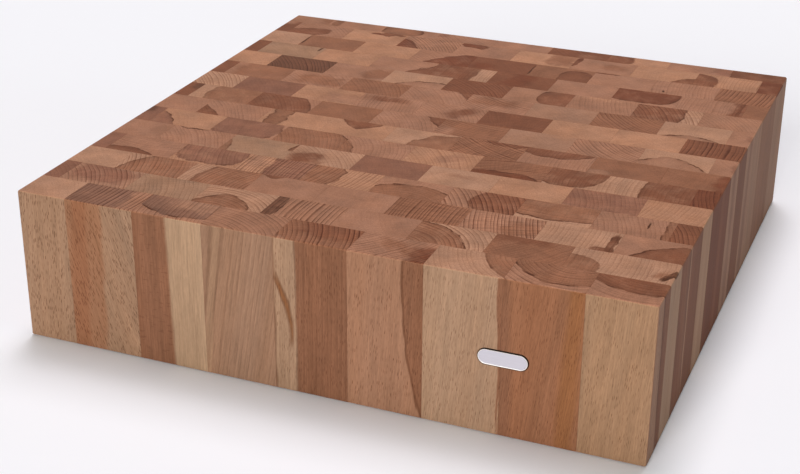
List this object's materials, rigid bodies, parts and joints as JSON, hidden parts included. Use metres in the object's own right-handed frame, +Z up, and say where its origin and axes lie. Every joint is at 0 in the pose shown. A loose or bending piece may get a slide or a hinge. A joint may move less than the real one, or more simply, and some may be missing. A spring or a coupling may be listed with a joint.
{
  "type": "butcher block",
  "caption": "Square end-grain wooden butcher block of upright staves glued in staggered rows, with eased edges and a blank metal badge let into its front.",
  "frame": {"origin": "middle of the underside, which rests on the worktop", "axes": "+Z up through the thickness, -Y out of the front face that carries the badge, +X to the right as seen from the front"},
  "size_m": [0.4, 0.4005, 0.1],
  "materials": {
    "beech_cream": "oiled",
    "beech_tan": "oiled",
    "beech_pink": "oiled",
    "beech_brown": "oiled",
    "beech_red": "oiled",
    "beech_grey": "oiled",
    "badge_aluminium": "satin"
  },
  "bodies": {
    "root": {"front_stave_1": "beech_tan", "front_stave_2": "beech_brown", "front_stave_3": "beech_cream", "front_stave_4": "beech_tan", "front_stave_5": "beech_brown", "front_stave_6": "beech_pink", "front_stave_7": "beech_cream", "front_stave_8": "beech_brown", "front_stave_9": "beech_cream", "row_02_left_stave": "beech_grey", "row_02_middle_staves": "beech_tan", "row_02_right_stave": "beech_cream", "row_03_left_stave": "beech_cream", "row_03_middle_staves": "beech_tan", "row_03_right_stave": "beech_tan", "row_04_left_stave": "beech_red", "row_04_middle_staves": "beech_brown", "row_04_right_stave": "beech_brown", "row_05_left_stave": "beech_pink", "row_05_middle_staves": "beech_tan", "row_05_right_stave": "beech_cream", "row_06_left_stave": "beech_brown", "row_06_middle_staves": "beech_pink", "row_06_right_stave": "beech_red", "row_07_left_stave": "beech_pink", "row_07_middle_staves": "beech_tan", "row_07_right_stave": "beech_brown", "row_08_left_stave": "beech_red", "row_08_middle_staves": "beech_brown", "row_08_right_stave": "beech_pink", "row_09_left_stave": "beech_cream", "row_09_middle_staves": "beech_tan", "row_09_right_stave": "beech_red", "row_10_left_stave": "beech_brown", "row_10_middle_staves": "beech_brown", "row_10_right_stave": "beech_pink", "row_11_left_stave": "beech_pink", "row_11_middle_staves": "beech_pink", "row_11_right_stave": "beech_tan", "row_12_left_stave": "beech_brown", "row_12_middle_staves": "beech_brown", "row_12_right_stave": "beech_pink", "row_13_left_stave": "beech_cream", "row_13_middle_staves": "beech_pink", "row_13_right_stave": "beech_brown", "row_14_left_stave": "beech_pink", "row_14_middle_staves": "beech_tan", "row_14_right_stave": "beech_red", "back_stave_1": "beech_tan", "back_stave_2": "beech_pink", "back_stave_3": "beech_red", "back_stave_4": "beech_pink", "back_stave_5": "beech_pink", "back_stave_6": "beech_brown", "back_stave_7": "beech_pink", "back_stave_8": "beech_cream", "back_stave_9": "beech_brown", "badge_plate": "badge_aluminium"}
  },
  "joints": []
}
